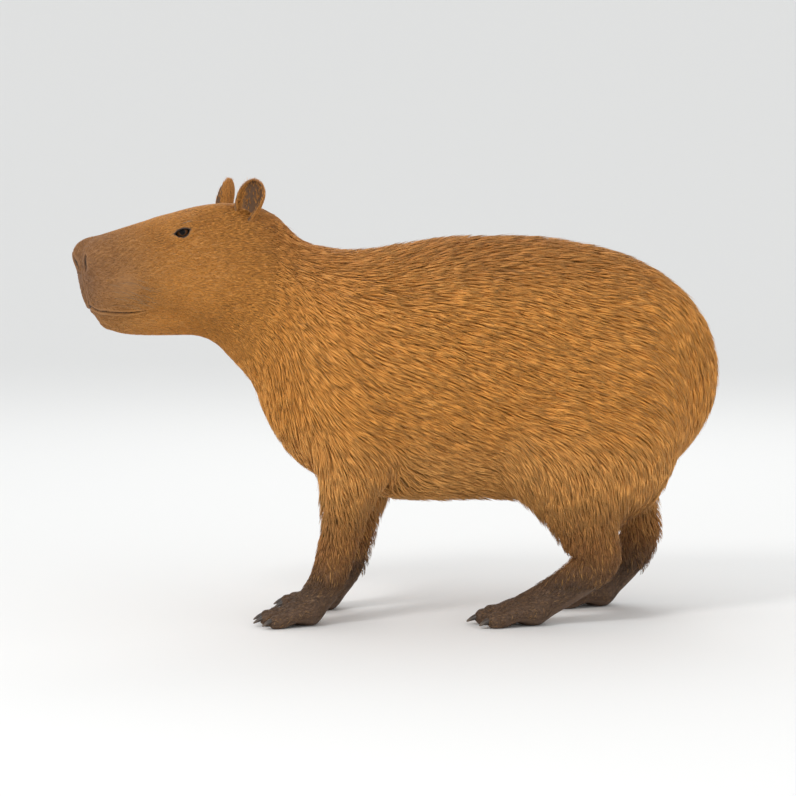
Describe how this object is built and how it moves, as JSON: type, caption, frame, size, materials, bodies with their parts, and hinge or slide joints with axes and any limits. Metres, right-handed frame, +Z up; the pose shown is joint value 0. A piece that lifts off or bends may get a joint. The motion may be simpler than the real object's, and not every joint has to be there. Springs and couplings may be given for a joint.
{
  "type": "capybara",
  "caption": "Standing capybara, a life-size still museum model: head turned a little to its left, coat of coarse swept-back hair.",
  "frame": {"origin": "middle of the bounding box seen from above, at floor level, under the soles", "axes": "+Z up; the head points to -X and the rump to +X; the animal's left side is -Y"},
  "size_m": [1.0916, 0.3446, 0.747],
  "materials": {
    "coat": "coarse matt hair",
    "coat_shade": "coarse matt hair, darker",
    "skin": "matt skin with thin short hair",
    "eye": "wet and glossy",
    "claw": "dull horn"
  },
  "bodies": {
    "root": {"claw_fore_left_1": "claw", "claw_fore_left_2": "claw", "claw_fore_left_3": "claw", "claw_fore_left_4": "claw", "claw_fore_right_1": "claw", "claw_fore_right_2": "claw", "claw_fore_right_3": "claw", "claw_fore_right_4": "claw", "claw_hind_left_1": "claw", "claw_hind_left_2": "claw", "claw_hind_left_3": "claw", "claw_hind_right_1": "claw", "claw_hind_right_2": "claw", "claw_hind_right_3": "claw", "ear_left": "skin", "ear_right": "skin", "eye_left": "eye", "eye_right": "eye", "foreleg_left": "coat", "foreleg_right": "coat_shade", "forepaw_left": "skin", "forepaw_right": "skin", "head": "coat", "hindleg_left": "coat", "hindleg_right": "coat_shade", "hindpaw_left": "skin", "hindpaw_right": "skin", "neck": "coat", "rump": "coat", "torso": "coat"}
  },
  "joints": []
}
